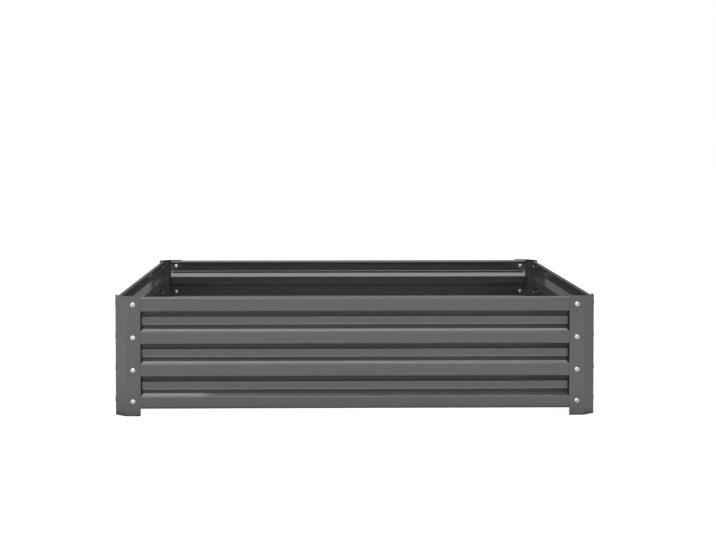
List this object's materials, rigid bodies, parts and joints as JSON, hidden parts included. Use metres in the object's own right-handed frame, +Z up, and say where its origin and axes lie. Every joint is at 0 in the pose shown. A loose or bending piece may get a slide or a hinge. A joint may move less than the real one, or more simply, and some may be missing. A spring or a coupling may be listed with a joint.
{
  "type": "raised garden bed",
  "caption": "Square raised garden bed of ribbed sheet-steel walls with rolled edges, screwed to bent corner posts; open at the top and at the bottom.",
  "frame": {"origin": "on the ground, under the middle of the bed", "axes": "+Z up, +X along the front wall towards the right as seen from the front, front wall towards -Y"},
  "size_m": [1.2086, 1.2086, 0.3],
  "materials": {
    "charcoal_paint": "semi-gloss charcoal-grey powder coat on sheet steel",
    "zinc_plate": "bright zinc-plated steel"
  },
  "bodies": {
    "root": {"corner_post_front_left": "charcoal_paint", "corner_post_front_right": "charcoal_paint", "corner_post_back_right": "charcoal_paint", "corner_post_back_left": "charcoal_paint", "wall_panel_front": "charcoal_paint", "wall_panel_right": "charcoal_paint", "wall_panel_back": "charcoal_paint", "wall_panel_left": "charcoal_paint", "screw_front_wall_left_1": "zinc_plate", "screw_front_wall_left_2": "zinc_plate", "screw_front_wall_left_3": "zinc_plate", "screw_front_wall_left_4": "zinc_plate", "screw_front_wall_right_1": "zinc_plate", "screw_front_wall_right_2": "zinc_plate", "screw_front_wall_right_3": "zinc_plate", "screw_front_wall_right_4": "zinc_plate", "screw_right_wall_left_1": "zinc_plate", "screw_right_wall_left_2": "zinc_plate", "screw_right_wall_left_3": "zinc_plate", "screw_right_wall_left_4": "zinc_plate", "screw_right_wall_right_1": "zinc_plate", "screw_right_wall_right_2": "zinc_plate", "screw_right_wall_right_3": "zinc_plate", "screw_right_wall_right_4": "zinc_plate", "screw_back_wall_left_1": "zinc_plate", "screw_back_wall_left_2": "zinc_plate", "screw_back_wall_left_3": "zinc_plate", "screw_back_wall_left_4": "zinc_plate", "screw_back_wall_right_1": "zinc_plate", "screw_back_wall_right_2": "zinc_plate", "screw_back_wall_right_3": "zinc_plate", "screw_back_wall_right_4": "zinc_plate", "screw_left_wall_left_1": "zinc_plate", "screw_left_wall_left_2": "zinc_plate", "screw_left_wall_left_3": "zinc_plate", "screw_left_wall_left_4": "zinc_plate", "screw_left_wall_right_1": "zinc_plate", "screw_left_wall_right_2": "zinc_plate", "screw_left_wall_right_3": "zinc_plate", "screw_left_wall_right_4": "zinc_plate"}
  },
  "joints": []
}
